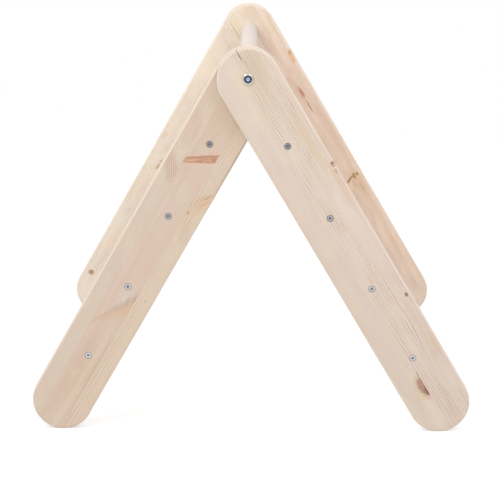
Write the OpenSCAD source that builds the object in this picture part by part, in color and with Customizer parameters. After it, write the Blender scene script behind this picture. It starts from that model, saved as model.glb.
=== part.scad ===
// Folding climbing triangle: two identical pine ladders on a common pivot.
// The ladders stand side by side, one board thickness apart along the rungs.
// Millimetres, +Z up, +Y along the rungs. The origin is on the floor under the middle.

/* [Ladder] */
// Length of a rail, end to end
rail_len = 715; // [640:5:900]
// Width of a rail
rail_w = 100; // [80:1:120]
// Thickness of a rail
rail_t = 20; // [18:1:28]
// Radius worked on the long edges and round the ends of a rail
edge_round = 3; // [1.5:0.5:6]
// Width of a ladder, over both rails
ladder_w = 700; // [500:10:900]
// Half of the angle between the ladders as they stand
stand_angle = 30.1; // [20:0.1:45]

/* [Rungs] */
// Diameter of a rung
rung_d = 30; // [24:1:36]
// From the pivot to the first rung
first_rung = 123; // [105:1:140]
// From one rung to the next
rung_pitch = 135; // [120:1:145]

/* [Rung screws] */
// Length of a screw, head included
screw_len = 50; // [45:1:70]
// Diameter of its flat head
screw_head_d = 10; // [9:0.5:12]
// Straight rim above the head's cone
screw_rim_h = 0.6; // [0.4:0.1:1]
// Height of the head's cone
screw_cone_h = 2.2; // [1.8:0.1:3]
// Diameter of the plain shank, which fills the hole in the rail
screw_shank_d = 7; // [6:0.5:8]
// Length of the plain shank under the cone
screw_shank_len = 9; // [6:0.5:12]
// Diameter of the threaded core, which fills the pilot hole in the rung
screw_core_d = 5; // [4:0.5:5.5]
// Hexagon socket of the screw, across flats
screw_socket_af = 4; // [3:0.5:5]
// Depth of that socket
screw_socket_depth = 2.4; // [1.5:0.1:3]
// How far the head lies below the face of the rail
screw_sink = 0.3; // [0.1:0.1:1]

/* [Pivot] */
// From the end of a rail to the pivot
pivot_inset = 48; // [40:1:60]
// Diameter of the pivot bolt
bolt_d = 8; // [8:1:10]
// Diameter of its flat head
bolt_head_d = 17.5; // [16:0.5:22]
// Height of its flat head, bevel included
bolt_head_h = 2.6; // [2.2:0.1:4]
// Height and width of the bevel round the head
bolt_bevel = 1.5; // [0.5:0.1:1.8]
// Hexagon socket of the bolt, across flats
bolt_socket_af = 6; // [5:0.5:6]
// Depth of that socket
bolt_socket_depth = 4; // [2:0.1:5]
// How far the bolt goes into the top rung
bolt_engagement = 28; // [20:0.5:40]
// Outer diameter of the washer between the two rails of a pivot
spacer_d = 24; // [16:1:40]
// Thickness of that washer, which keeps the rails apart
spacer_t = 2; // [1:0.1:3]
// Outer diameter of the threaded insert in the end of the top rung
insert_d = 12; // [11:0.5:14]
// Length of that insert
insert_len = 20; // [12:1:20]

/* [Fits] */
// Room all round the bolt in the rails and washers
bolt_gap = 0.1; // [0.05:0.05:0.3]
// Room between two faces that turn on each other
slip_gap = 0.05; // [0.02:0.01:0.2]
// Room all round a screw in its holes, and round the thread and the insert
screw_gap = 0.03; // [0.01:0.01:0.1]
// Depth of a pilot hole past the tip that it takes
tip_room = 4; // [2:1:8]

/* [Hidden] */
$fn = 72;
see_through = 1; // how far a cutting tool runs past the face that it opens

right = 1;
left = -1;
rung_numbers = [1, 2, 3, 4];

// From the pivot to the centres of the round top and the round foot of a rail
top_reach = rail_w / 2 - pivot_inset;
foot_reach = rail_len - pivot_inset - rail_w / 2;
pivot_z = foot_reach * cos(stand_angle) + rail_w / 2;
// The left ladder lies one rail and one washer further along Y than the right one
ladder_step = rail_t + slip_gap + spacer_t;
assembly_w = ladder_w + ladder_step;
right_y = -assembly_w / 2;
left_y = right_y + ladder_step;
rung_len = ladder_w - 2 * rail_t;
// The top rung stands on the near left rail and reaches to the far right one, which turns on it
top_rung_len = ladder_w - ladder_step - 2 * rail_t - slip_gap;
// From under the bolt's head to the end of the top rung, past both rails and their washer
bolt_stack = 2 * rail_t + spacer_t + 2 * slip_gap;

pine = [0.88, 0.79, 0.70];
turned_pine = [0.91, 0.85, 0.78];
zinc = [0.68, 0.71, 0.75];

function rung_reach(number) = first_rung + (number - 1) * rung_pitch;

// Places its children in a ladder's frame: +X down the ladder from the pivot,
// +Y along the rungs from the ladder's near face
module in_ladder(side) {
    translate([0, side == right ? right_y : left_y, pivot_z])
        rotate([0, 90 - side * stand_angle, 0]) children();
}

// Lays what is drawn along +Z along +Y instead
module along_y() {
    rotate([-90, 0, 0]) children();
}

// Puts what is drawn inwards from under the bolt's head at the named end of the pivot.
// The far head lies on its own ladder's rail, and the near one slips on the other ladder's.
module at_pivot(end, depth = 0) {
    near_seat = right_y - slip_gap;
    far_seat = left_y + ladder_w;
    translate([0, 0, pivot_z])
        if (end == "near") translate([0, near_seat + depth, 0]) along_y() children();
        else translate([0, far_seat - depth, 0]) rotate([180, 0, 0]) along_y() children();
}

module ring(outer_d, bore_d, len) {
    difference() {
        cylinder(d = outer_d, h = len);
        translate([0, 0, -see_through]) cylinder(d = bore_d, h = len + 2 * see_through);
    }
}

module hex_socket(across_flats, depth) {
    translate([0, 0, -see_through])
        cylinder(d = across_flats / cos(30), h = depth + see_through, $fn = 6);
}

// ---- Rails ----

// Section of a rail: X across its width, Y through its thickness
module rail_section() {
    flat_w = rail_w - 2 * edge_round;
    flat_t = rail_t - 2 * edge_round;
    translate([-rail_w / 2, edge_round]) square([rail_w, flat_t]);
    translate([-flat_w / 2, 0]) square([flat_w, rail_t]);
    for (x = [-flat_w / 2, flat_w / 2], y = [edge_round, edge_round + flat_t])
        translate([x, y]) circle(r = edge_round);
}

// Half disc on the side of +X, with the rail's worked edge carried round it
module rail_end() {
    rotate([0, 0, -90]) rotate_extrude(angle = 180) intersection() {
        rail_section();
        square([rail_w / 2, rail_t]);
    }
}

// Board with round ends: +X from the pivot to the foot, +Z through the thickness
module rail_blank() {
    translate([top_reach, 0, 0]) {
        rotate([90, 0, 90]) linear_extrude(height = foot_reach - top_reach) rail_section();
        rotate([0, 0, 180]) rail_end();
    }
    translate([foot_reach, 0, 0]) rail_end();
}

// Hole and countersink for a rung screw, cut inwards from the outer face
module screw_hole() {
    rim_depth = screw_sink + screw_rim_h;
    translate([0, 0, -see_through])
        cylinder(d = screw_shank_d + 2 * screw_gap, h = rail_t + 2 * see_through);
    translate([0, 0, -see_through])
        cylinder(d = screw_head_d + 2 * screw_gap, h = rim_depth + see_through);
    translate([0, 0, rim_depth])
        cylinder(d1 = screw_head_d, d2 = screw_shank_d, h = screw_cone_h);
}

// A rail on its ladder. The screw heads lie in its outer face.
module rail(side, end) {
    color(pine) in_ladder(side) translate([0, end == "near" ? 0 : ladder_w - rail_t, 0])
        along_y() difference() {
            rail_blank();
            translate([0, 0, -see_through])
                cylinder(d = bolt_d + 2 * bolt_gap, h = rail_t + 2 * see_through);
            for (number = rung_numbers) translate([rung_reach(number), 0, 0])
                if (end == "near") screw_hole();
                else translate([0, 0, rail_t]) rotate([180, 0, 0]) screw_hole();
        }
}

// ---- Rungs ----

// Plain dowel along +Z with a hole bored in each end
module dowel(len, hole_d, hole_depth) {
    difference() {
        cylinder(d = rung_d, h = len);
        translate([0, 0, -see_through]) cylinder(d = hole_d, h = hole_depth + see_through);
        translate([0, 0, len - hole_depth]) cylinder(d = hole_d, h = hole_depth + see_through);
    }
}

// A rung butts against the inner faces of both rails
module rung(side, number) {
    pilot_depth = screw_sink + screw_len - rail_t + tip_room;
    color(turned_pine) in_ladder(side) translate([rung_reach(number), rail_t, 0])
        along_y() dowel(rung_len, screw_core_d + 2 * screw_gap, pilot_depth);
}

// The rung on the pivot is clamped between the inner rails by the two pivot bolts
module top_rung() {
    color(turned_pine) translate([0, left_y + rail_t, pivot_z])
        along_y() dowel(top_rung_len, insert_d + 2 * screw_gap, bolt_engagement + tip_room);
}

// ---- Rung screws ----

// Flat-headed furniture screw with a hexagon socket, drawn inwards from its head
module rung_screw() {
    plain_end = screw_rim_h + screw_cone_h + screw_shank_len;
    point_h = screw_core_d / 4;
    difference() {
        union() {
            cylinder(d = screw_head_d, h = screw_rim_h);
            translate([0, 0, screw_rim_h])
                cylinder(d1 = screw_head_d, d2 = screw_shank_d, h = screw_cone_h);
            cylinder(d = screw_shank_d, h = plain_end);
            cylinder(d = screw_core_d, h = screw_len - point_h);
            translate([0, 0, screw_len - point_h])
                cylinder(d1 = screw_core_d, d2 = screw_core_d / 2, h = point_h);
        }
        hex_socket(screw_socket_af, screw_socket_depth);
    }
}

// The four screws through one rail
module rung_screws(side, end) {
    color(zinc) in_ladder(side) for (number = rung_numbers)
        translate([rung_reach(number), end == "near" ? screw_sink : ladder_w - screw_sink, 0])
            rotate([end == "near" ? 0 : 180, 0, 0]) along_y() rung_screw();
}

// ---- Pivot ----

// Bolt with a flat bevelled head, drawn inwards from the top of the head
module bolt() {
    difference() {
        union() {
            cylinder(d1 = bolt_head_d - 2 * bolt_bevel, d2 = bolt_head_d, h = bolt_bevel);
            translate([0, 0, bolt_bevel]) cylinder(d = bolt_head_d, h = bolt_head_h - bolt_bevel);
            translate([0, 0, bolt_bevel])
                cylinder(d = bolt_d, h = bolt_head_h - bolt_bevel + bolt_stack + bolt_engagement);
        }
        hex_socket(bolt_socket_af, bolt_socket_depth);
    }
}

module pivot_bolt(end) {
    color(zinc) at_pivot(end, -bolt_head_h) bolt();
}

// The washer lies against the left ladder's rail, and the right ladder's slips on it
module pivot_spacer(end) {
    depth = end == "near" ? rail_t + 2 * slip_gap : rail_t;
    color(zinc) at_pivot(end, depth) ring(spacer_d, bolt_d + 2 * bolt_gap, spacer_t);
}

module rung_insert(end) {
    color(zinc) at_pivot(end, bolt_stack) ring(insert_d, bolt_d + 2 * screw_gap, insert_len);
}

rail(right, "near");  // right_rail_near
rail(right, "far");  // right_rail_far
rung(right, 1);  // right_rung_1
rung(right, 2);  // right_rung_2
rung(right, 3);  // right_rung_3
rung(right, 4);  // right_rung_4
rung_screws(right, "near");  // right_screws_near
rung_screws(right, "far");  // right_screws_far
rail(left, "near");  // left_rail_near
rail(left, "far");  // left_rail_far
rung(left, 1);  // left_rung_1
rung(left, 2);  // left_rung_2
rung(left, 3);  // left_rung_3
rung(left, 4);  // left_rung_4
rung_screws(left, "near");  // left_screws_near
rung_screws(left, "far");  // left_screws_far
top_rung();
rung_insert("near");  // rung_insert_near
rung_insert("far");  // rung_insert_far
pivot_spacer("near");  // pivot_spacer_near
pivot_spacer("far");  // pivot_spacer_far
pivot_bolt("near");  // pivot_bolt_near
pivot_bolt("far");  // pivot_bolt_far
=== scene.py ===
import math

import bmesh
import bpy
from mathutils import Matrix, Vector


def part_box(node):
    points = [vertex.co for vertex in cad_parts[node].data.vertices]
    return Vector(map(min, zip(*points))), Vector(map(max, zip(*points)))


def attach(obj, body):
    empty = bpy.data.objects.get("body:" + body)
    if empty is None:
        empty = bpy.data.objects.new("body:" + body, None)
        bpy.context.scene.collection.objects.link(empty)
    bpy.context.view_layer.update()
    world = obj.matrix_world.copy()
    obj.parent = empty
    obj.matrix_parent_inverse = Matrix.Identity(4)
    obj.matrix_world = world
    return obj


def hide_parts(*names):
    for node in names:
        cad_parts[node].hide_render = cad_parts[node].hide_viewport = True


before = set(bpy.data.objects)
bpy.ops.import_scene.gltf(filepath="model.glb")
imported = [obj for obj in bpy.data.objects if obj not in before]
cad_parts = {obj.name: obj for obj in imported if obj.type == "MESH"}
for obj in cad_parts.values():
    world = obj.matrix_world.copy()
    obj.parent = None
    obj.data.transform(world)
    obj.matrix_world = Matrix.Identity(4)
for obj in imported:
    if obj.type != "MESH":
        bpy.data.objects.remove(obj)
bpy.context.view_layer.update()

# Sizes are metres, angles are degrees, and colours are what a paint picker shows, 0 to 255.
ladder = {
    "lean": 30.1,  # each ladder, from upright
    "firstRung": 0.123,  # from the pivot
    "rungStep": 0.135,
    "rungCount": 4,
    "railThick": 0.02,
    "topReach": 0.002,  # from the pivot down to the middle of the round top
    "straight": 0.615,  # from there to the middle of the round foot
}
pivot = sum(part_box("top_rung"), Vector()) / 2


def paint(red, green, blue):
    # picker colour as linear light
    shares = (red / 255, green / 255, blue / 255)
    return tuple(c / 12.92 if c < 0.0405 else ((c + 0.055) / 1.055) ** 2.4 for c in shares)


def downLadder(side, along, y):
    # point on the middle line of the right (1) or left (-1) ladder, so far along it from the pivot
    lean = math.radians(ladder["lean"])
    return Vector((side * along * math.sin(lean), y, pivot.z - along * math.cos(lean)))


def plug(tree, value, socket):
    if isinstance(value, list):
        for each in value:
            tree.links.new(each.socket, socket)
    elif isinstance(value, Wire):
        tree.links.new(value.socket, socket)
    elif socket.type == "RGBA":
        socket.default_value = (*value, 1.0)
    else:
        socket.default_value = value


class Wire:
    # one socket of a tree; sums written with it add their own Math nodes
    def __init__(self, tree, socket=None):
        self.tree = tree
        self.socket = socket

    def node(self, kind, settings=None, inlets=None, outlet=0):
        made = self.tree.nodes.new(kind)
        for name, value in (settings or {}).items():
            setattr(made, name, value)
        for name, value in (inlets or {}).items():
            plug(self.tree, value, made.inputs[name])
        return Wire(self.tree, made.outputs[outlet]) if len(made.outputs) else made

    def outlet(self, name):
        return Wire(self.tree, self.socket.node.outputs[name])

    def maths(self, operation, *others):
        return self.node("ShaderNodeMath", {"operation": operation}, dict(enumerate((self, *others))))

    def __add__(self, other):
        return self.maths("ADD", other)

    def __sub__(self, other):
        return self.maths("SUBTRACT", other)

    def __rsub__(self, other):
        return self.maths("MULTIPLY_ADD", -1.0, other)

    def __mul__(self, other):
        return self.maths("MULTIPLY", other)

    def __truediv__(self, other):
        return self.maths("DIVIDE", other)

    def __gt__(self, other):
        return self.maths("GREATER_THAN", other)

    __radd__ = __add__

    def size(self):
        return self.maths("ABSOLUTE")

    def fading(self):
        # 1 at nought, falling off like a bell
        return (self * self * -1.0).maths("EXPONENT")

    def between(self, low, high):
        # low where this wire is 0, high where it is 1
        return self * (high - low) + low

    def eased(self, low, high):
        # soft step from 0 at low to 1 at high; low may be the larger one
        return self.node("ShaderNodeMapRange", {"interpolation_type": "SMOOTHSTEP"},
                         {"Value": self, "From Min": low, "From Max": high})

    def banded(self, rise, fall):
        # soft step up and then down again
        return self.eased(*rise) * self.eased(*fall)

    def uneven(self, perStep, shift):
        # smooth noise along one number, about nought
        return self.node("ShaderNodeTexNoise", {"noise_dimensions": "1D"},
                         {"W": self + shift, "Scale": perStep, "Detail": 1.0}) - 0.5

    def mixed(self, none, full):
        # colour that goes from none to full as this wire goes from 0 to 1
        return self.node("ShaderNodeMix", {"data_type": "RGBA"}, {0: self, 6: none, 7: full}, 2)

    def placed(self, middle, turn=0.0):
        # the same point as seen from a middle, turned about Y
        return self.node("ShaderNodeMapping", {"vector_type": "TEXTURE"},
                         {"Vector": self, "Location": middle, "Rotation": (0.0, turn, 0.0)})

    def parts(self):
        split = self.node("ShaderNodeSeparateXYZ", None, {0: self})
        return [split.outlet(axis) for axis in "XYZ"]

    def clouds(self, perMetre, shift, detail=2.0):
        # smooth noise about nought, with so many lumps to the metre along each axis
        spread = self.node("ShaderNodeVectorMath", {"operation": "MULTIPLY_ADD"},
                           {0: self, 1: perMetre, 2: shift})
        return self.node("ShaderNodeTexNoise", None,
                         {"Vector": spread, "Scale": 1.0, "Detail": detail}) - 0.5

    def noises(self, kinds, shift):
        return {kind: self.clouds(lumps, shift, detail) for kind, (lumps, detail) in kinds.items()}

    def bumped(self, strength, distance):
        inlets = {"Strength": strength, "Distance": distance, "Height": self}
        return self.node("ShaderNodeBump", None, inlets)


def hypotenuse(*sides):
    return sum(side * side for side in sides).maths("SQRT")


def newMaterial(name):
    material = bpy.data.materials.new(name)
    material.use_nodes = True
    tree = material.node_tree
    shader = tree.nodes["Principled BSDF"]
    place = Wire(tree).node("ShaderNodeTexCoord", outlet="Object")
    return material, shader, place


def feed(shader, **inlets):
    for name, value in inlets.items():
        plug(shader.id_data, value, shader.inputs[name.replace("_", " ")])


def lateWood(turns, seed, wood):
    # the dark part of each year's ring: it comes slowly, ends sharply, and is paler in some years
    year = turns.maths("FLOOR") + seed
    strength = year.node("ShaderNodeTexWhiteNoise", {"noise_dimensions": "1D"}, {"W": year})
    dark = turns.maths("FRACT").banded(wood["lateRise"], wood["lateFall"])
    return dark * strength.between(wood["palestYear"], 1.0)


# what stands up from the wood or lies below it, and what makes it rougher or smoother
woodRelief = {"fibre": 0.9, "line": 0.5, "glue": -0.4, "depth": 0.0004}
woodSheen = {"fibre": 0.25, "edge": 0.08, "line": -0.1, "knots": -0.08, "specular": 0.32}


def dressWood(shader, colour, wood, **marks):
    height = sum(mark * woodRelief[kind] for kind, mark in marks.items() if kind in woodRelief)
    sheen = [mark * woodSheen[kind] for kind, mark in marks.items() if kind in woodSheen]
    bump = height.bumped(wood["bump"], woodRelief["depth"])
    feed(shader, Base_Color=colour, Roughness=sum(sheen, wood["roughness"]), Normal=bump,
         Specular_IOR_Level=woodSheen["specular"])


pine = {
    "lineColour": paint(194, 167, 138),  # late wood, at its darkest
    "pinkStreak": paint(225, 197, 182),
    "creamStreak": paint(231, 215, 191),
    "pore": paint(176, 140, 108),
    "sandedAndHighlit": paint(241, 227, 212),  # the worked edge all round: partly the bare wood's paler colour, partly painted highlight
    "shadedEdge": paint(211, 197, 181),  # the same with painted shade, on the side the window lamp lights most
    "shadedEdgeFrom": 32.0,  # that side, from upright towards the left
    "shadedEdgeSpan": (0.72, 1.1),  # how far round it reaches, as cosines
    "edgeSpan": (0.0474, 0.0492),  # where the edge begins and is full, from the board's middle line
    "edgeDeep": (0.006, 0.0076),  # and from the middle of its thickness
    "edgeDepths": (0.4, 0.8),  # how strong it is there
    "screwRimShade": paint(138, 120, 110),  # painted shade in the crevice round each screw's head
    "screwRimShadeRadius": 0.0056, "screwRimShadeSpan": (1.08, 0.98), "screwRimShadeDepth": 0.9,
    "spotSpan": (1.25, 0.35), "shadeRag": 0.9, "stainRag": 0.6,  # how soft and ragged spots are
    "curlSpan": (1.15, 0.5), "curlRise": (0.15, 0.75), "curlFall": (1.0, 0.85), "curlWander": 0.0045,
    "slowWander": 0.012, "middlingWander": 0.0045, "quickWander": 0.0016,  # how far a ring strays
    "unevenEvery": 0.45, "uneven": 0.5, "stripStarts": (0.0, 0.37, 0.71),  # in rings
    "lateRise": (0.22, 0.8), "lateFall": (1.0, 0.86), "palestYear": 0.6,
    "patchSpan": (-0.2, 0.14), "palestPatch": 0.35,
    "poreSpan": (0.27, 0.36), "earlyPores": 0.35, "poreDepth": 0.35,
    "glueHalf": 0.00025, "glueDepth": 0.14,
    "roughness": 0.56, "bump": 0.22,
}

# noise in a board: lumps to the metre (along, through, across) and how fine its detail goes
pineNoise = {
    "wobble": ((170, 170, 170), 3.0),
    "mottle": ((420, 640, 640), 2.0),
    "slow": ((3.2, 11, 11), 2.0),
    "middling": ((9, 26, 26), 2.0),
    "quick": ((34, 90, 90), 2.0),
    "patches": ((13, 44, 44), 3.0),
    "streak": ((2.2, 38, 38), 3.0),
    "blush": ((28, 52, 52), 2.0),
    "fibre": ((55, 1500, 1500), 3.0),
    "pores": ((85, 900, 900), 0.0),
}

# tints under and over the rings' lines: which noise, where it begins and is full, depth, colour
underTints = (
    ("streak", 0.02, 0.22, 0.5, "pinkStreak"), ("streak", -0.03, -0.22, 0.5, "creamStreak"),
    ("blush", 0.04, 0.26, 0.38, "pinkStreak"), ("blush", -0.04, -0.26, 0.38, "creamStreak"),
)
overTints = (
    ("fibre", 0.05, 0.32, 0.18, "lineColour"), ("mottle", 0.03, 0.3, 0.2, "lineColour"),
    ("mottle", -0.03, -0.3, 0.3, "sandedAndHighlit"),
)

knotWood = {
    "haloFull": 0.85, "haloDepth": 0.6, "heartSpan": (1.16, 0.82), "barkSpan": (0.6, 1.0), "bark": 0.7,
    "shadeDepth": 0.85, "ringCount": 2.8, "ringSpan": (0.2, 0.9), "ringDepth": 0.35,
    "darkMottle": 2.2, "darkSpan": (-0.4, 0.5),
    "fleckLumps": (330, 330, 330), "fleckSpan": (0.0, 0.16),
    "pushReach": (2.2, 1.6),  # how far the grain is pushed aside, in the knot's own half sizes
}

# a branch that was sawn along its length
branchWood = {
    "deepReach": 1.4, "lumps": (2.6, 1.5, 1.0), "lumpsDeep": 200.0, "streakSpan": (0.2, -0.14),
    "from": (-0.12, 0.0), "to": (1.12, 1.0), "darkSpan": (0.55, 0.0), "darkDepth": 0.35,
}


def patch(at, half, colour, depth, **more):
    return {"at": at, "half": half, "colour": paint(*colour), "depth": depth, **more}


def knotOf(heart, rim, halo, **more):
    return {"heart": paint(*heart), "rim": paint(*rim), "halo": paint(*halo), **more}


# Boards glued up from three strips, left to right as seen from the front. "seams" are the glue
# lines across the board, "pith" the heart of each strip's log (across, through) from the
# board's middle, "gap" the width of a year's ring, "line" how dark its late wood is, "wave"
# how much it wanders, "taper" how much it drifts across along the board, and "sandingAndHighlight"
# how much the pale worked edge shows, partly the wood's own colour and partly painted highlight.
# A spot lies "at" (along, across) and has a "half" length and width.
# "shades" lie under the grain and "stains" over it, "calm" wood shows fewer lines, and "curls"
# are rows of fine lines. "spread" is how far a knot's halo goes, "rag" how uneven its outline
# is, "push" how much it bends the grain, "dark" its darker side, "dim" how dark it is all over,
# and "bark" how dark its rim.
boards = {}
boards["right_rail_near"] = {
    "side": 1, "seed": 3.1, "seams": (-0.0057, 0.0398), "shadedEdgeSpan": (0.0, 1.25), "sandingAndHighlight": 1.08,
    "pith": ((-0.031, 0.034), (-0.08, 0.036), (-0.03, 0.06)),
    "gap": (0.0054, 0.0032, 0.0034), "line": (0.19, 0.86, 0.42), "wave": (1.0, 1.7, 1.4),
    "taper": (0.004, 0.001, 0.002),
    "tones": ((225, 208, 194), (232, 216, 203), (230, 212, 199)),
    "shades": (
        patch((-0.015, -0.001), (0.08, 0.0068), (225, 207, 193), 0.8, turn=-3.5),
        patch((-0.005, 0.019), (0.06, 0.019), (218, 199, 170), 0.45),
        patch((0.135, 0.033), (0.065, 0.0085), (224, 197, 168), 0.6),
        patch((0.225, 0.042), (0.05, 0.006), (226, 199, 172), 0.5),
        patch((0.25, -0.012), (0.012, 0.005), (230, 214, 184), 0.4),
        patch((0.376, 0.006), (0.009, 0.0045), (230, 203, 172), 0.45),
        patch((0.405, -0.041), (0.017, 0.0065), (226, 212, 180), 0.5),
        patch((0.355, 0.033), (0.09, 0.012), (231, 210, 199), 0.6),
        patch((0.52, 0.0425), (0.026, 0.0045), (225, 199, 160), 0.6),
        patch((0.588, -0.0165), (0.017, 0.012), (226, 203, 163), 0.75, strip=0),
        patch((0.632, -0.037), (0.011, 0.007), (232, 205, 194), 0.6),
        patch((0.63, -0.012), (0.03, 0.02), (234, 217, 206), 0.7),
        patch((0.588, -0.035), (0.024, 0.006), (228, 201, 188), 0.4, turn=12),
    ),
    "calm": (
        {"at": (0.29, 0.031), "half": (0.135, 0.017), "depth": 0.8},
        {"at": (0.452, 0.024), "half": (0.026, 0.009), "depth": 0.6},
    ),
    "swirls": ({"at": (0.452, 0.0235), "half": (0.022, 0.008), "strip": 1, "push": 0.65},),
    "knots": (
        knotOf((204, 160, 140), (112, 78, 70), (194, 165, 134), strip=0, spread=1.7, rag=0.34,
               at=(0.5786, -0.0052), half=(0.0174, 0.0108), turn=7, push=0.75,
               dark=(0.55, 1.15), dim=0.24, bark=0.4, flecks=0.55),
        knotOf((214, 176, 152), (150, 106, 84), (234, 210, 194), strip=2, spread=2.0, rag=0.5,
               at=(0.1816, 0.0472), half=(0.0048, 0.0035), push=0.6, dark=(-1.3, 0.3),
               bark=0.45),
        knotOf((184, 142, 112), (112, 80, 58), (226, 198, 172), strip=2, spread=2.2, rag=0.9,
               at=(0.4272, 0.0434), half=(0.0034, 0.0024), turn=-30, push=0.5,
               dark=(-0.9, -0.6)),
    ),
    "stains": (
        patch((0.5545, -0.0064), (0.007, 0.0009), (150, 128, 116), 0.9, strip=0),
        patch((0.599, -0.01), (0.0042, 0.006), (230, 196, 184), 0.6, strip=0),
        patch((0.569, -0.0178), (0.009, 0.0025), (229, 192, 176), 0.6, turn=-24),
        patch((-0.042, 0.0066), (0.0125, 0.0008), (104, 82, 62), 1.0),
        patch((-0.024, 0.009), (0.02, 0.0012), (196, 172, 140), 0.7),
        patch((0.22, 0.0496), (0.055, 0.0018), (240, 208, 190), 0.55),
        patch((0.1935, 0.046), (0.0052, 0.003), (206, 162, 124), 0.7),
        patch((0.439, 0.0455), (0.009, 0.0032), (228, 192, 162), 0.55),
    ),
}
boards["left_rail_near"] = {
    "side": -1, "seed": 7.7, "seams": (-0.023, 0.0225),
    "pith": ((-0.12, 0.03), (0.004, 0.042), (-0.055, 0.03)),
    "gap": (0.0033, 0.007, 0.004), "line": (0.54, 0.2, 0.54), "wave": (1.4, 1.0, 1.3),
    "taper": (0.01, 0.012, 0.002),
    "tones": ((221, 204, 187), (218, 196, 178), (224, 205, 184)),
    "shades": (
        # partly the wood's own tan, partly painted shade beside the near right rail
        patch((0.055, 0.003), (0.06, 0.033), (213, 190, 163), 0.6),
        patch((0.115, -0.036), (0.05, 0.013), (229, 210, 193), 0.8, strip=0),
        patch((0.108, -0.024), (0.038, 0.007), (226, 200, 189), 0.7),
        patch((0.215, 0.002), (0.023, 0.012), (222, 204, 184), 0.6),
        patch((0.185, 0.014), (0.02, 0.007), (223, 192, 174), 0.6),
        patch((0.192, -0.014), (0.016, 0.007), (225, 196, 182), 0.6),
        patch((0.235, -0.01), (0.04, 0.013), (224, 203, 188), 0.55),
        patch((0.37, 0.01), (0.1, 0.01), (222, 192, 176), 0.7),
        patch((0.37, -0.02), (0.05, 0.008), (223, 199, 187), 0.5),
        patch((0.55, -0.01), (0.1, 0.011), (213, 186, 164), 0.6),
        patch((0.57, 0.008), (0.08, 0.008), (211, 184, 158), 0.5),
        patch((0.62, -0.042), (0.03, 0.012), (226, 202, 182), 0.5),
        patch((0.403, 0.005), (0.026, 0.02), (217, 201, 189), 0.75, strip=1),
    ),
    "curls": (
        patch((0.115, -0.035), (0.042, 0.012), (198, 168, 140), 0.58, strip=0, turn=5, gap=0.0029),
        patch((0.185, -0.0345), (0.03, 0.012), (196, 162, 138), 0.78, strip=0, turn=30, gap=0.0031),
        patch((0.208, 0.036), (0.02, 0.01), (196, 162, 126), 0.5, strip=2, turn=-34, gap=0.003),
        patch((0.265, 0.036), (0.028, 0.01), (198, 168, 136), 0.4, strip=2, turn=12, gap=0.0032),
    ),
    "knots": (
        knotOf((217, 174, 150), (184, 136, 104), (224, 192, 172), strip=1, spread=2.3, rag=0.65,
               ends=((0.163, -0.0237), (0.1362, 0.0224)), widths=(0.0054, 0.0078)),
        knotOf((186, 150, 132), (170, 132, 114), (218, 190, 162), strip=2, spread=5.0, rag=0.5,
               at=(0.2352, 0.0245), half=(0.0022, 0.0017), push=0.8, dark=(0.0, 0.5)),
    ),
    "stains": (
        patch((0.214, 0.038), (0.027, 0.0095), (224, 191, 157), 0.6, turn=-24, strip=2),
        patch((0.199, 0.04), (0.012, 0.0016), (190, 152, 120), 0.65, turn=-36, strip=2),
        patch((0.211, 0.0402), (0.012, 0.0012), (202, 164, 128), 0.5, turn=-26, strip=2),
        patch((0.159, -0.013), (0.008, 0.0014), (232, 188, 154), 0.7, turn=-60, strip=1),
        patch((0.1385, 0.018), (0.006, 0.006), (176, 130, 102), 0.45, strip=1),
        patch((0.13, 0.015), (0.0055, 0.007), (226, 190, 168), 0.4, turn=25, strip=1),
        patch((0.55, 0.0195), (0.09, 0.0016), (200, 166, 146), 0.6),
        patch((0.14, 0.048), (0.07, 0.0022), (186, 160, 132), 0.5),
    ),
    "wedge": {
        "top": (0.4665, -0.0225), "foot": (0.401, 0.0225), "widths": (0.01, 0.046), "rag": 0.5,
        "deepSpan": (0.004, -0.004), "lumps": (3.2, 28.0, 1.0),
        "colour": paint(215, 184, 156), "inside": ((-0.1, 0.22), (1.35, 0.15)), "depth": 0.7,
        "bright": paint(219, 184, 146), "glowAt": 0.38, "glowSpan": (0.4, 0.05),
        "glowFrom": (0.2, 1.0), "glowEven": 0.6, "glowDepth": 0.8,
        "edge": paint(174, 146, 134), "border": ((-0.55, 0.0), (0.34, 0.02)),
        "borderTorn": (-0.24, 0.04), "borderFrom": (-0.3, 0.9), "borderDepth": 0.5,
    },
}
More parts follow.
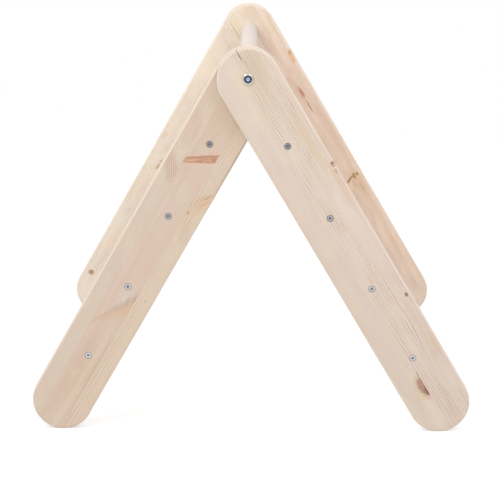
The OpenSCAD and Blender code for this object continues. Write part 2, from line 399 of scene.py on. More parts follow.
boards["right_rail_far"] = {
    "side": 1, "seed": 12.4, "seams": (-0.036, 0.0085), "sandingAndHighlight": 0.4,
    "pith": ((-0.09, 0.03), (-0.07, 0.036), (0.012, 0.048)),
    "gap": (0.0046, 0.0052, 0.0075), "line": (0.28, 0.3, 0.38), "wave": (1.2, 1.2, 1.6),
    "taper": (0.002, 0.003, 0.01),
    # paler than the near rails: partly the wood's own colour, partly painted light against the shade
    # these rails stand in behind the near ones
    "tones": ((241, 227, 210), (240, 226, 208), (240, 223, 205)),
    "calm": ({"at": (0.56, 0.03), "half": (0.16, 0.026), "depth": 0.4},),
    "curls": (
        patch((0.25, 0.033), (0.11, 0.015), (226, 190, 164), 0.26, strip=2, turn=1.5, gap=0.0036),
    ),
    "shades": (
        # partly the wood's peach tone, partly painted light on the lower board, which the lamps light
        # less
        patch((0.42, 0.03), (0.46, 0.05), (249, 222, 202), 0.9),
        patch((-0.026, -0.015), (0.02, 0.013), (240, 226, 194), 0.6),
        patch((-0.035, 0.015), (0.015, 0.012), (240, 216, 196), 0.5),
        patch((0.015, 0.038), (0.025, 0.006), (238, 224, 190), 0.5),
        # partly the wood's own tone, partly painted shadow of the top rung
        patch((0.033, 0.017), (0.038, 0.009), (231, 201, 182), 0.7, turn=10),
        patch((0.14, 0.022), (0.05, 0.006), (235, 199, 180), 0.5),
        patch((0.11, 0.036), (0.05, 0.006), (242, 218, 199), 0.6),
        patch((0.37, 0.033), (0.04, 0.012), (234, 202, 164), 0.75),
        patch((0.43, 0.035), (0.05, 0.006), (238, 206, 172), 0.5),
        patch((0.515, 0.033), (0.04, 0.008), (238, 208, 178), 0.5),
        patch((0.55, 0.016), (0.07, 0.005), (238, 205, 192), 0.5),
    ),
    "knots": (
        knotOf((188, 150, 114), (160, 120, 88), (230, 198, 160), strip=2, spread=2.4, rag=0.5,
               at=(0.3557, 0.0393), half=(0.0032, 0.0023), push=0.7, dark=(0.3, 0.3)),
        knotOf((206, 164, 122), (180, 134, 94), (230, 198, 156), strip=2, spread=2.2, rag=0.8,
               at=(0.3565, 0.0325), half=(0.0062, 0.0028), push=0.4, dark=(0.0, -0.3)),
        knotOf((190, 140, 100), (166, 116, 80), (230, 196, 160), strip=2, spread=2.8, rag=0.6,
               ends=((0.3618, 0.0152), (0.355, 0.0276)), widths=(0.002, 0.0015)),
    ),
    "stains": (
        patch((0.0855, 0.0448), (0.017, 0.0058), (232, 186, 138), 0.75, turn=-6),
        patch((0.076, 0.0455), (0.007, 0.003), (196, 142, 96), 0.65, turn=-35),
        patch((0.094, 0.0422), (0.0095, 0.0012), (208, 158, 112), 0.75),
        patch((0.157, 0.0255), (0.015, 0.0052), (220, 172, 148), 0.8),
        patch((0.157, 0.0258), (0.0125, 0.0022), (178, 122, 90), 0.75, turn=3),
        patch((-0.003, -0.0265), (0.011, 0.0038), (228, 192, 152), 0.4),
        patch((0.189, 0.0256), (0.018, 0.0017), (184, 138, 102), 0.85),
        patch((0.05, 0.012), (0.022, 0.003), (210, 170, 142), 0.4, turn=12),
        patch((0.075, 0.019), (0.026, 0.0022), (218, 178, 154), 0.4, turn=4),
        patch((0.3568, 0.0296), (0.0024, 0.0013), (146, 98, 62), 0.7),
        patch((0.37, 0.0255), (0.015, 0.0014), (206, 160, 122), 0.5, turn=-8),
        patch((0.386, 0.0352), (0.017, 0.0012), (200, 158, 120), 0.6),
        patch((-0.016, -0.0262), (0.02, 0.001), (200, 170, 132), 0.8),
        patch((0.027, -0.043), (0.011, 0.0009), (160, 134, 104), 1.0),
    ),
}
boards["left_rail_far"] = {
    "side": -1, "seed": 18.9, "seams": (-0.0115, 0.034), "sandingAndHighlight": 0.4,
    "pith": ((-0.1, 0.034), (-0.02, 0.05), (0.09, 0.03)),
    "gap": (0.004, 0.006, 0.0046), "line": (0.36, 0.22, 0.4), "wave": (1.4, 1.2, 1.2),
    "taper": (0.006, 0.008, 0.002),
    # paler than the near rails: partly the wood's own colour, partly painted light against the shade
    # these rails stand in behind the near ones
    "tones": ((244, 231, 214), (240, 225, 208), (238, 222, 203)),
    "calm": ({"at": (0.085, -0.033), "half": (0.08, 0.03), "depth": 0.8},),
    "shades": (
        patch((0.105, -0.033), (0.05, 0.008), (246, 233, 202), 0.5),
        patch((0.37, -0.028), (0.04, 0.01), (243, 223, 205), 0.6),
        patch((0.35, -0.04), (0.035, 0.005), (246, 233, 202), 0.5),
        patch((0.505, -0.031), (0.035, 0.008), (243, 222, 202), 0.6),
        patch((0.57, -0.029), (0.05, 0.006), (240, 216, 203), 0.5),
        patch((0.34, 0.02), (0.16, 0.008), (228, 204, 184), 0.5),
    ),
    "knots": (
        knotOf((206, 174, 148), (146, 108, 86), (234, 210, 188), strip=0, spread=1.9, rag=0.3,
               at=(0.5922, -0.0348), half=(0.0048, 0.005), push=0.8, dark=(-0.5, 0.3)),
        knotOf((222, 204, 182), (208, 188, 164), (234, 214, 186), strip=0, spread=2.6, rag=0.9,
               at=(0.3195, -0.0226), half=(0.0046, 0.0023), push=0.4),
        knotOf((214, 192, 164), (198, 174, 142), (234, 214, 186), strip=0, spread=2.6, rag=0.9,
               at=(0.3315, -0.023), half=(0.0056, 0.0024), push=0.4),
    ),
    "stains": (),
}


class BoardFace:
    # wires along, through and across one board, with its strips and its noise
    def __init__(self, world, board, middleY):
        turn = math.radians(90.0 - board["side"] * ladder["lean"])
        self.board = board
        self.place = world.placed(downLadder(board["side"], ladder["topReach"], middleY), turn)
        self.along, self.deep, self.across = self.place.parts()
        self.shift = (board["seed"], board["seed"] * 2.0, -board["seed"])
        self.noise = self.place.noises(pineNoise, self.shift)
        self.pastSeams = [self.across > seam for seam in board["seams"]]
        first, second = self.pastSeams
        self.strips = (1.0 - first, first - second, second)

    def perStrip(self, values):
        return sum(strip * value for strip, value in zip(self.strips, values))

    def combined(self, **axes):
        return self.place.node("ShaderNodeCombineXYZ", None, axes)

    def reach(self, spot):
        # 0 at the middle of an oval and 1 on its outline
        turn = math.radians(spot.get("turn", 0.0))
        x = self.along - spot["at"][0]
        y = self.across - spot["at"][1]
        return hypotenuse((x * math.cos(turn) + y * math.sin(turn)) / spot["half"][0],
                          (y * math.cos(turn) - x * math.sin(turn)) / spot["half"][1])

    def inSpot(self, spot, rag, span):
        # how much of a ragged oval is here
        here = (self.reach(spot) + self.noise["wobble"] * rag).eased(*span)
        return here * self.strips[spot["strip"]] if "strip" in spot else here

    def rings(self):
        # which year's ring, counted from each strip's own pith; knots and swirls push the grain aside
        board, noise = self.board, self.noise
        pushed = self.across
        for spot in board["knots"] + board.get("swirls", ()):
            if "push" in spot:
                half = [own * times for own, times in zip(spot["half"], knotWood["pushReach"])]
                pull = self.reach({"at": spot["at"], "half": half}).fading() * spot["push"]
                pull = pull * self.strips[spot["strip"]]
                pushed = pushed - (self.across - spot["at"][1]) * pull
        pithAcross, pithDeep = zip(*board["pith"])
        radius = hypotenuse(pushed - self.perStrip(pithAcross), self.deep - self.perStrip(pithDeep))
        wander = noise["middling"] * pine["middlingWander"] + noise["quick"] * pine["quickWander"]
        wander = noise["slow"] * pine["slowWander"] + wander * self.perStrip(board["wave"])
        turns = radius + wander + self.along * self.perStrip(board["taper"])
        turns = turns / self.perStrip(board["gap"])
        return (turns + turns.uneven(pine["unevenEvery"], board["seed"]) * pine["uneven"]
                + self.perStrip(pine["stripStarts"]))

    def lines(self, late):
        patches = self.noise["patches"].eased(*pine["patchSpan"]).between(pine["palestPatch"], 1.0)
        line = late * self.perStrip(self.board["line"]) * patches
        for calm in self.board.get("calm", ()):
            line = line * (1.0 - self.inSpot(calm, 1.0, pine["spotSpan"]) * calm["depth"])
        return line

    def toned(self):
        first, second = self.pastSeams
        left, middle, right = (paint(*tone) for tone in self.board["tones"])
        return second.mixed(first.mixed(left, middle), right)

    def tinted(self, colour, tints):
        for kind, low, high, depth, tint in tints:
            colour = (self.noise[kind].eased(low, high) * depth).mixed(colour, pine[tint])
        return colour

    def spotted(self, colour, spots, rag):
        for spot in spots:
            here = self.inSpot(spot, rag, pine["spotSpan"])
            colour = (here * spot["depth"]).mixed(colour, spot["colour"])
        return colour

    def curled(self, colour, curl):
        turn = math.radians(curl["turn"])
        rows = self.across * math.cos(turn) - self.along * math.sin(turn)
        rows = ((rows + self.noise["quick"] * pine["curlWander"]) / curl["gap"]).maths("FRACT")
        rows = rows.banded(pine["curlRise"], pine["curlFall"])
        here = self.inSpot(curl, 1.0, pine["curlSpan"]) * curl["depth"]
        return (rows * here).mixed(colour, curl["colour"])

    def edged(self, colour):
        # the worked edge all round the board: paler, partly the bare wood's own colour and partly
        # painted highlight, with painted shade on the side the window lamp lights most
        beyond = (self.along - ladder["straight"]).maths("MAXIMUM", 0.0)
        before = (self.along * -1.0).maths("MAXIMUM", 0.0)
        fromMiddle = hypotenuse(beyond, before, self.across)
        arris = fromMiddle.eased(*pine["edgeSpan"])
        shadeBearing = math.radians(pine["shadedEdgeFrom"] - self.board["side"] * ladder["lean"])
        towards = (before * math.cos(shadeBearing) - self.across * math.sin(shadeBearing)) / fromMiddle
        span = self.board.get("shadedEdgeSpan", pine["shadedEdgeSpan"])
        # painted shade on the part of the edge that faces the window lamp
        edge = towards.eased(*span).mixed(pine["sandedAndHighlit"], pine["shadedEdge"])
        rounding = self.deep.size().eased(*pine["edgeDeep"]).between(*pine["edgeDepths"])
        return (arris * rounding * self.board.get("sandingAndHighlight", 1.0)).mixed(colour, edge), arris

    def torn(self, colour, wedge):
        # a slanting wedge of torn, reddish grain beside a branch that lies deeper
        (topAlong, topAcross), (footAlong, footAcross) = wedge["top"], wedge["foot"]
        share = (self.across - topAcross) / (footAcross - topAcross)
        inward = (self.along - share.between(topAlong, footAlong)) / share.between(*wedge["widths"])
        inward = inward + self.noise["wobble"] * wedge["rag"]
        here = self.strips[1] * self.deep.eased(*wedge["deepSpan"])
        fleck = self.combined(X=inward, Y=share).clouds(wedge["lumps"], self.shift, 1.0)
        inside = inward.banded(*wedge["inside"]) * here
        colour = (inside * wedge["depth"]).mixed(colour, wedge["colour"])
        glow = (inward - wedge["glowAt"]).size().eased(*wedge["glowSpan"])
        glow = glow * share.eased(*wedge["glowFrom"]) * here
        glow = glow * (fleck + wedge["glowEven"])
        colour = (glow * wedge["glowDepth"]).mixed(colour, wedge["bright"])
        border = inward.banded(*wedge["border"]) * here * fleck.eased(*wedge["borderTorn"])
        border = border * share.eased(*wedge["borderFrom"])
        return (border * wedge["borderDepth"]).mixed(colour, wedge["edge"])

    def sawnAcross(self, knot):
        # distance from a round knot's middle, the marks in its heart, and where it can be at all
        wood = knotWood
        reach = self.reach(knot)
        marks = (reach * wood["ringCount"] + self.noise["wobble"]).maths("FRACT")
        marks = marks.eased(*wood["ringSpan"]) * wood["ringDepth"]
        if "flecks" in knot:
            flecks = self.place.clouds(wood["fleckLumps"], self.shift).eased(*wood["fleckSpan"])
            marks = marks + flecks * knot["flecks"]
        darker = knot.get("dark", (0.0, 0.0))
        dark = sum((wire - at) * (more / half) for wire, at, more, half
                   in zip((self.along, self.across), knot["at"], darker, knot["half"]))
        dark = dark + self.noise["mottle"] * wood["darkMottle"] + knot.get("dim", 0.0)
        return reach, marks.maths("MAXIMUM", dark.eased(*wood["darkSpan"])), self.strips[knot["strip"]]

    def sawnAlong(self, knot):
        # the same for a branch that was sawn along its length, which lies slantwise in the face
        wood = branchWood
        (topAlong, topAcross), (footAlong, footAcross) = knot["ends"]
        share = (self.across - topAcross) / (footAcross - topAcross)
        aside = (self.along - share.between(topAlong, footAlong)) / share.between(*knot["widths"])
        below = (self.deep + ladder["railThick"] / 2) / (wood["deepReach"] * max(knot["widths"]))
        branch = self.combined(X=aside, Y=share, Z=self.deep * wood["lumpsDeep"])
        marks = branch.clouds(wood["lumps"], self.shift, 3.0).eased(*wood["streakSpan"])
        marks = marks.maths("MAXIMUM", share.eased(*wood["darkSpan"]) * wood["darkDepth"])
        here = self.strips[knot["strip"]] * share.banded(wood["from"], wood["to"])
        return hypotenuse(aside, below), marks, here

    def knotted(self, colour, knot):
        # warm halo, a streaky heart with its own rings, darker bark line round it
        wood = knotWood
        reach, marks, here = self.sawnAlong(knot) if "ends" in knot else self.sawnAcross(knot)
        reach = reach + self.noise["wobble"] * knot["rag"]
        halo = reach.eased(knot["spread"], wood["haloFull"]) * here
        colour = (halo * wood["haloDepth"]).mixed(colour, knot["halo"])
        heart = reach.eased(*wood["heartSpan"]) * here
        colour = heart.mixed(colour, knot["heart"])
        bark = reach.eased(*wood["barkSpan"]) * heart * knot.get("bark", wood["bark"])
        shade = (marks * heart * wood["shadeDepth"]).maths("MAXIMUM", bark)
        return shade.mixed(colour, knot["rim"]), heart


def pineBoard(name, board):
    material, shader, world = newMaterial(name)
    low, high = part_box(name)
    face = BoardFace(world, board, (low.y + high.y) / 2)
    late = lateWood(face.rings(), board["seed"], pine)
    line = face.lines(late)

    # broad shades and streaks, then the rings' lines, fibres and resin pores
    colour = face.spotted(face.toned(), board["shades"], pine["shadeRag"])
    colour = face.tinted(colour, underTints)
    colour = line.mixed(colour, pine["lineColour"])
    for curl in board.get("curls", ()):
        colour = face.curled(colour, curl)
    colour = face.tinted(colour, overTints)
    pores = face.noise["pores"].eased(*pine["poreSpan"]) * (late + pine["earlyPores"])
    colour = (pores * pine["poreDepth"]).mixed(colour, pine["pore"])

    # the worked edge with its painted highlight and shade, torn grain, knots, stains, painted shade
    # round the screw heads, and glue lines
    colour, arris = face.edged(colour)
    if "wedge" in board:
        colour = face.torn(colour, board["wedge"])
    hearts = []
    for knot in board["knots"]:
        colour, heart = face.knotted(colour, knot)
        hearts.append(heart)
    colour = face.spotted(colour, board["stains"], pine["stainRag"])
    # a dark ring of painted shade round each screw head, where the head meets the wood
    for number in range(ladder["rungCount"]):
        head = {"at": (ladder["firstRung"] + number * ladder["rungStep"] - ladder["topReach"], 0.0),
                "half": (pine["screwRimShadeRadius"],) * 2}
        rimShade = face.reach(head).eased(*pine["screwRimShadeSpan"]) * pine["screwRimShadeDepth"]
        colour = rimShade.mixed(colour, pine["screwRimShade"])
    glue = sum(((face.across - seam) / pine["glueHalf"]).fading() for seam in board["seams"])
    colour = (glue * pine["glueDepth"]).mixed(colour, pine["lineColour"])

    dressWood(shader, colour, pine,
              fibre=face.noise["fibre"], edge=arris, line=line, knots=sum(hearts), glue=glue)
    return material


for name, board in boards.items():
    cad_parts[name].material_slots[0].material = pineBoard(name, board)
print("boards:", len(boards), "rails of glued pine strips")


rungWood = {
    "tone": paint(226, 214, 207),
    "line": paint(208, 191, 175),
    "streak": paint(224, 204, 192), "streakSpan": (0.0, 0.22), "streakDepth": 0.7,
    "gap": 0.0034,
    "pithOff": 0.034,  # the log's heart from the rung's middle
    "pithTurn": 2.4,  # radians it goes round from one rung to the next
    "slowWander": 0.006, "quickWander": 0.001,
    "lateRise": (0.3, 0.86), "lateFall": (1.0, 0.9), "palestYear": 0.3, "lineDepth": 0.42,
    "fibreSpan": (0.05, 0.32), "fibreDepth": 0.14,
    "roughness": 0.5, "bump": 0.2,
}
rungNoise = {
    "slow": ((14, 3, 14), 2.0),
    "quick": ((70, 14, 70), 2.0),
    "streak": ((45, 1.6, 45), 3.0),
    "fibre": ((1500, 55, 1500), 3.0),
}


def turnedPine(name, number):
    material, shader, world = newMaterial(name)
    middle = sum(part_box(name), Vector()) / 2
    place = world.placed(middle)
    x, _, z = place.parts()
    noise = place.noises(rungNoise, (number * 3.7, number * 1.9, -number * 2.3))
    bearing = rungWood["pithTurn"] * number
    off = rungWood["pithOff"]
    radius = hypotenuse(x - off * math.cos(bearing), z - off * math.sin(bearing))
    radius = radius + noise["slow"] * rungWood["slowWander"] + noise["quick"] * rungWood["quickWander"]
    line = lateWood(radius / rungWood["gap"], number, rungWood) * rungWood["lineDepth"]
    streak = noise["streak"].eased(*rungWood["streakSpan"]) * rungWood["streakDepth"]
    colour = line.mixed(streak.mixed(rungWood["tone"], rungWood["streak"]), rungWood["line"])
    fibre = noise["fibre"].eased(*rungWood["fibreSpan"]) * rungWood["fibreDepth"]
    colour = fibre.mixed(colour, rungWood["line"])
    dressWood(shader, colour, rungWood, fibre=noise["fibre"], line=line)
    return material


rungNames = ["top_rung"]
for side in ("right", "left"):
    rungNames += [f"{side}_rung_{n}" for n in range(1, ladder["rungCount"] + 1)]
for number, name in enumerate(rungNames):
    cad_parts[name].material_slots[0].material = turnedPine(name, number)
print("rungs:", len(rungNames), "turned dowels")


zinc = {
    # the socket tone is painted shade, darker in the screws' hex holes
    "bright": paint(203, 206, 210), "dull": paint(184, 188, 193), "socket": paint(160, 163, 168),
    "roughness": 0.22, "cloudRough": 0.16, "speckRough": 0.1, "socketRough": 0.36, "seed": 4.0,
    "cloudLumps": (420, 420, 420), "cloudSpan": (-0.22, 0.24), "speckLumps": (2600, 2600, 2600),
    "bump": 0.1, "bumpDepth": 0.0002, "marksPerMetre": 5200.0,  # in radians
}
washerZinc = dict(zinc, roughness=0.38, seed=14.0, cutterMarks=0.12)
boltZinc = dict(
    # the socket tone here is a painted highlight, pale and bluish in the bolt's hex hole
    zinc, bright=paint(178, 186, 198), dull=paint(160, 168, 180), socket=paint(198, 216, 240),
    rim=paint(198, 193, 188), rimSpan=(0.0062, 0.0068),  # the slope outside the head's flat
    roughness=0.1, bump=0.03, seed=9.0, cutterMarks=0.12,
)


def zincFinish(name, finish):
    # bright plating with faint clouds and specks; a darker socket in the screws as painted shade and a
    # pale bluish one in the bolt as painted highlight; another tone on the bolt's rim; and the
    # cutter's fine marks round the pivot's line
    material, shader, place = newMaterial(name)
    clouds = place.clouds(finish["cloudLumps"], (finish["seed"], 0.0, 0.0), 4.0)
    speck = place.clouds(finish["speckLumps"], (finish["seed"], 1.0, 0.0), 2.0)
    socket = place.node("ShaderNodeAttribute", {"attribute_name": "socket"}, outlet="Fac")
    colour = clouds.eased(*finish["cloudSpan"]).mixed(finish["dull"], finish["bright"])
    colour = socket.mixed(colour, finish["socket"])
    height = speck
    if "cutterMarks" in finish:
        x, _, z = place.parts()
        fromAxis = hypotenuse(x, z - pivot.z)
        height = speck + (fromAxis * finish["marksPerMetre"]).maths("SINE") * finish["cutterMarks"]
        if "rim" in finish:
            colour = fromAxis.eased(*finish["rimSpan"]).mixed(colour, finish["rim"])
    rough = finish["roughness"] + clouds * finish["cloudRough"] + speck * finish["speckRough"]
    rough = rough + socket * finish["socketRough"]
    bump = height.bumped(finish["bump"], finish["bumpDepth"])
    feed(shader, Base_Color=colour, Metallic=1.0, Roughness=rough, Normal=bump)
    return material


screwFinish = zincFinish("screwZinc", zinc)
boltFinish = zincFinish("boltZinc", boltZinc)
washerFinish = zincFinish("washerZinc", washerZinc)


def hexagon(acrossFlats):
    sixth = math.radians(60)
    return lambda angle: acrossFlats / 2 / math.cos((angle + sixth / 2) % sixth - sixth / 2)


def threadRows(top, bottom, s):
    # rows of a screw thread between two depths; the thread runs out at both of them
    pitch = s["pitch"]
    count = round((bottom - top) / pitch * s["rowsPerTurn"])
    rows = []
    for step in range(count + 1):
        depth = top + (bottom - top) * step / count
        height = (s["crest"] - s["core"]) * min(1.0, (depth - top) / pitch, (bottom - depth) / pitch)

        def radius(angle, depth=depth, height=height):
            turn = (depth / pitch - angle / math.tau) % 1
            return s["core"] + height * max(0.0, 1 - abs(turn - 0.5) / s["flank"])
        rows.append((depth, radius))
    return rows


def meshOf(name, shape):
    mesh = bpy.data.meshes.new(name)
    shape.to_mesh(mesh)
    shape.free()
    return mesh


def newObject(name, data):
    made = bpy.data.objects.new(name, data)
    bpy.context.scene.collection.objects.link(made)
    return made


def newPiece(name, mesh, finish):
    mesh.materials.clear()
    mesh.materials.append(finish)
    return newObject(name, mesh)


def turned(name, rows, segments):
    # closed body of revolution about +Y; a row is (depth, radius), the first and last are on the
    # axis, and the first three are the socket's
    shape = bmesh.new()
    rings = []
    for depth, radius in rows:
        if radius == 0:
            rings.append([shape.verts.new((0.0, depth, 0.0))])
            continue
        ring = []
        for step in range(segments):
            angle = math.tau * step / segments
            r = radius(angle) if callable(radius) else radius
            ring.append(shape.verts.new((r * math.cos(angle), depth, r * math.sin(angle))))
        rings.append(ring)
    for upper, lower in zip(rings, rings[1:]):
        for step in range(segments):
            following = (step + 1) % segments
            if len(upper) == 1:
                shape.faces.new((upper[0], lower[step], lower[following]))
            elif len(lower) == 1:
                shape.faces.new((upper[step], lower[0], upper[following]))
            else:
                shape.faces.new((upper[step], lower[step], lower[following], upper[following]))
    bmesh.ops.recalc_face_normals(shape, faces=shape.faces)
    mesh = meshOf(name, shape)
    mesh.shade_smooth()
    mesh.set_sharp_from_angle(angle=math.radians(32))
    inSocket = mesh.attributes.new("socket", "FLOAT", "POINT")
    for vertex in range(1 + 2 * segments):
        inSocket.data[vertex].value = 1.0
    return mesh


rungScrew = {
    "length": 0.05, "headRadius": 0.005, "rim": 0.0006, "cone": 0.0022,
    "shankRadius": 0.0035, "shankEnd": 0.0118, "core": 0.0025, "crest": 0.0034, "pitch": 0.003,
    "flank": 0.34,  # of a turn, from the thread's crest down to its core
    "socket": 0.004, "socketDepth": 0.0024, "socketDip": 0.0003, "socketTaper": 0.0002,
    "sink": 0.0003, "easing": 0.00018, "segments": 36, "rowsPerTurn": 8,
}


def screwRows(s):
    ease = s["easing"]
    point = s["core"] / 2
    return [
        (s["socketDepth"] + s["socketDip"], 0),
        (s["socketDepth"], hexagon(s["socket"] - s["socketTaper"])),
        (ease, hexagon(s["socket"])), (0.0, hexagon(s["socket"] + 2 * ease)),
        (0.0, s["headRadius"] - ease), (ease, s["headRadius"]), (s["rim"], s["headRadius"]),
        (s["rim"] + s["cone"], s["shankRadius"]), (s["shankEnd"], s["shankRadius"]),
        (s["shankEnd"] + ease, s["core"]),
        *threadRows(s["shankEnd"] + 2 * ease, s["length"] - point - ease, s),
        (s["length"] - point, s["core"]), (s["length"], s["core"] / 2), (s["length"], 0),
    ]


def screwRowTree():
    # the screws of one ladder: a row down the near rail and one down the far rail, heads outwards
    tree = bpy.data.node_groups.new("rungScrewRows", "GeometryNodeTree")
    tree.is_modifier = True
    inlets = {"Screw": "Object", "Rungs": "Int", "First Screw": "Vector", "Next Screw": "Vector",
              "To Far Rail": "Vector", "Seed": "Int", "Finish": "Material"}
    for label, kind in inlets.items():
        tree.interface.new_socket(label, in_out="INPUT", socket_type="NodeSocket" + kind)
    tree.interface.new_socket("Screws", in_out="OUTPUT", socket_type="NodeSocketGeometry")
    given = Wire(tree).node("NodeGroupInput")
    screw = given.node("GeometryNodeObjectInfo", None, {"Object": given.outlet("Screw")}, "Geometry")
    rows = []
    for far in (0, 1):
        start = given.node("ShaderNodeVectorMath", {"operation": "MULTIPLY_ADD"}, {
            0: given.outlet("To Far Rail"), 1: (far, far, far), 2: given.outlet("First Screw")})
        points = given.node("GeometryNodeMeshLine", {"mode": "OFFSET"}, {
            "Count": given.outlet("Rungs"), "Start Location": start,
            "Offset": given.outlet("Next Screw")})
        # each screw stopped at its own angle, and the far ones point the other way
        spin = given.node("FunctionNodeRandomValue", {"data_type": "FLOAT"}, {
            2: 0.0, 3: math.tau, "Seed": given.outlet("Seed") + float(far * 5)}, 1)
        turn = given.node("ShaderNodeCombineXYZ", None, {"Y": spin, "Z": math.pi * far})
        rows.append(given.node("GeometryNodeInstanceOnPoints", None,
                               {"Points": points, "Instance": screw, "Rotation": turn}))
    joined = given.node("GeometryNodeJoinGeometry", None, {0: rows})
    real = given.node("GeometryNodeRealizeInstances", None, {0: joined})
    finished = given.node("GeometryNodeSetMaterial", None,
                          {"Geometry": real, "Material": given.outlet("Finish")})
    given.node("NodeGroupOutput", None, {0: finished})
    return tree


def baked(name, tree, values):
    # the tree's result as a plain mesh
    holder = newObject(name + "Holder", bpy.data.meshes.new(name + "Holder"))
    modifier = holder.modifiers.new("rows", "NODES")
    modifier.node_group = tree
    for item in tree.interface.items_tree:
        if item.in_out == "INPUT":
            modifier[item.identifier] = values[item.name]
    bpy.context.view_layer.update()
    graph = bpy.context.evaluated_depsgraph_get()
    mesh = bpy.data.meshes.new_from_object(holder.evaluated_get(graph))
    mesh.name = name
    bpy.data.objects.remove(holder)
    return mesh


screwMesh = turned("screwPattern", screwRows(rungScrew), rungScrew["segments"])
screwPattern = newPiece("screwPattern", screwMesh, screwFinish)
screwTree = screwRowTree()
for sideName, side, seed in (("right", 1, 11), ("left", -1, 23)):
    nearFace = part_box(f"{sideName}_rail_near")[0].y + rungScrew["sink"]
    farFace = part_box(f"{sideName}_rail_far")[1].y - rungScrew["sink"]
    first = downLadder(side, ladder["firstRung"], nearFace)
    second = downLadder(side, ladder["firstRung"] + ladder["rungStep"], nearFace)
    mesh = baked(f"rungScrews_{sideName}", screwTree, {
        "Screw": screwPattern, "Rungs": ladder["rungCount"], "Seed": seed, "Finish": screwFinish,
        "First Screw": first, "Next Screw": second - first,
        "To Far Rail": (0.0, farFace - nearFace, 0.0)})
    piece = newObject(f"rungScrews_{sideName}", mesh)
    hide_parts(f"{sideName}_screws_near", f"{sideName}_screws_far")
    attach(piece, f"{sideName}_ladder")
bpy.data.objects.remove(screwPattern)
print("screws:", 4 * ladder["rungCount"], "in two rows to a ladder")


pivotBolt = {
    "head": 0.0026, "headRadius": 0.00875, "flatRadius": 0.0065, "slope": 0.0011,
    "shankRadius": 0.004, "underHead": 0.0701, "threadLength": 0.026,
    "core": 0.0034, "crest": 0.00395, "pitch": 0.00125, "flank": 0.34,
    "socket": 0.006, "socketDepth": 0.003, "socketDip": 0.0004, "socketTaper": 0.0002,
    "tip": 0.0008, "tipTaper": 0.0006, "easing": 0.0002, "segments": 48, "rowsPerTurn": 6,
}


def boltRows(b):
    ease = b["easing"]
    end = b["head"] + b["underHead"]
    flat = b["flatRadius"]
    return [
        (b["socketDepth"] + b["socketDip"], 0),
        (b["socketDepth"], hexagon(b["socket"] - b["socketTaper"])),
        (ease * 0.7, hexagon(b["socket"])), (0.0, hexagon(b["socket"] + ease)),
        (0.0, flat - 2 * ease), (0.0, flat - ease), (ease * 0.4, flat + ease * 0.4),
        (b["slope"] - ease * 0.3, b["headRadius"] - ease), (b["slope"] + ease, b["headRadius"]),
        (b["head"] - ease, b["headRadius"]), (b["head"], b["headRadius"] - ease),
        (b["head"], b["shankRadius"] + ease), (b["head"] + ease, b["shankRadius"]),
        (end - b["threadLength"] - ease, b["shankRadius"]),
        *threadRows(end - b["threadLength"], end - b["tip"], b),
        (end, b["core"] - b["tipTaper"]), (end, 0),
    ]


for end, outer, turn in (("near", 0, 0.0), ("far", 1, math.pi)):
    node = f"pivot_bolt_{end}"
    mesh = turned(f"pivotBolt_{end}", boltRows(pivotBolt), pivotBolt["segments"])
    outside = Vector((pivot.x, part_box(node)[outer].y, pivot.z))
    mesh.transform(Matrix.Translation(outside) @ Matrix.Rotation(turn, 4, "Z"))
    piece = newPiece(f"pivotBolt_{end}", mesh, boltFinish)
    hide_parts(node)
    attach(piece, "left_ladder")
    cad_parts[f"pivot_spacer_{end}"].material_slots[0].material = washerFinish
    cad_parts[f"rung_insert_{end}"].material_slots[0].material = screwFinish
print("pivot: two bolts, two washers, two inserts")


studio = {
    "sky": 0.83,  # light from all round, on matt surfaces
    "floorTone": 0.7,
    "floorLift": 0.46,  # extra white that only the camera and shiny things see
    "floorRadius": 1.9,
    "floorMiddle": (0.0, 0.45, 0.0),
}


def grey(tone):
    return (tone, tone, tone)


def seenDirectly(tree):
    # 1 in what the camera and shiny things see, 0 in the light that falls on matt surfaces
    rays = Wire(tree).node("ShaderNodeLightPath")
    seen = rays.outlet("Is Camera Ray")
    for kind in ("Is Glossy Ray", "Is Transmission Ray"):
        seen = seen.maths("MAXIMUM", rays.outlet(kind))
    return seen


def skyWorld():
    world = bpy.data.worlds.new("paleRoom")
    bpy.context.scene.world = world
    world.use_nodes = True
    tree = world.node_tree
    background = tree.nodes["Background"]
    background.inputs["Color"].default_value = (1.0, 1.0, 1.0, 1.0)
    plug(tree, seenDirectly(tree).between(studio["sky"], 1.0), background.inputs["Strength"])


def paleFloor():
    shape = bmesh.new()
    bmesh.ops.create_circle(shape, cap_ends=True, segments=96, radius=studio["floorRadius"],
                            matrix=Matrix.Translation(studio["floorMiddle"]))
    mesh = meshOf("floor", shape)
    material, shader, _ = newMaterial("palePaper")
    lift = seenDirectly(material.node_tree).mixed(grey(0.0), grey(studio["floorLift"]))
    feed(shader, Base_Color=grey(studio["floorTone"]), Roughness=0.9, Specular_IOR_Level=0.0,
         Emission_Color=lift, Emission_Strength=1.0)
    newPiece("floor", mesh, material)


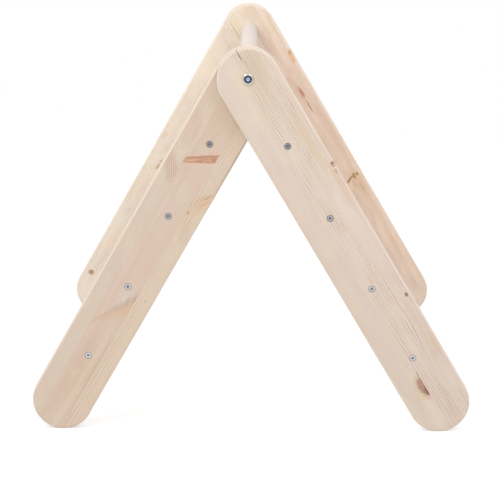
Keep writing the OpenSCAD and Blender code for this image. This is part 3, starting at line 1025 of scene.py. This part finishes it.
# two soft lamps over the front corners, both aimed at the middle of the triangle
lamps = {
    "windowLamp": {"place": (-1.5, -1.6, 2.9), "size": 1.6, "power": 38.0},
    "fillLamp": {"place": (1.4, -1.8, 2.9), "size": 2.0, "power": 10.0},
}
lampTarget = (0.0, 0.0, 0.35)


def softLamp(name, values):
    lamp = bpy.data.lights.new(name, "AREA")
    lamp.shape = "DISK"
    lamp.size = values["size"]
    lamp.energy = values["power"]
    holder = newObject(name, lamp)
    holder.location = values["place"]
    aim = Vector(lampTarget) - Vector(values["place"])
    holder.rotation_euler = aim.to_track_quat("-Z", "Y").to_euler()


# a sheet standing in for the unlit side of the room, which only shiny things see: a painted reflection
# of shade
shadeSheet = {
    "y": -3.4, "width": 5.0, "low": -1.6, "high": 0.55, "dark": 0.13, "grey": 0.8,
    "turnsGrey": (0.03, -0.1),  # dark above the first height, grey below the second
}


def darkCurtain():
    half = shadeSheet["width"] / 2
    low, high = shadeSheet["low"], shadeSheet["high"]
    shape = bmesh.new()
    corners = ((-half, low), (half, low), (half, high), (-half, high))
    shape.faces.new([shape.verts.new((x, shadeSheet["y"], z)) for x, z in corners])
    material, shader, place = newMaterial("reflectedShade")
    greying = place.parts()[2].eased(*shadeSheet["turnsGrey"])
    feed(shader, Base_Color=greying.mixed(grey(shadeSheet["dark"]), grey(shadeSheet["grey"])))
    piece = newPiece("darkCurtain", meshOf("darkCurtain", shape), material)
    piece.visible_camera = False
    piece.visible_diffuse = False
    piece.visible_shadow = False


skyWorld()
paleFloor()
for name, values in lamps.items():
    softLamp(name, values)
darkCurtain()

camera = {
    "place": (0.0141, -2.8861, 0.9484), "lens": 117.33, "down": 14.197, "turn": -0.286, "roll": 0.349,
}
lens = bpy.data.cameras.new("camera")
lens.lens = camera["lens"]
lens.clip_start = 0.05
holder = newObject("camera", lens)
holder.matrix_world = (
    Matrix.Translation(camera["place"])
    @ Matrix.Rotation(math.radians(-camera["turn"]), 4, "Z")
    @ Matrix.Rotation(math.radians(90.0 - camera["down"]), 4, "X")
    @ Matrix.Rotation(math.radians(-camera["roll"]), 4, "Z")
)
bpy.context.scene.camera = holder
bpy.context.scene.view_settings.view_transform = "Standard"
print("studio: floor, lamps and camera")
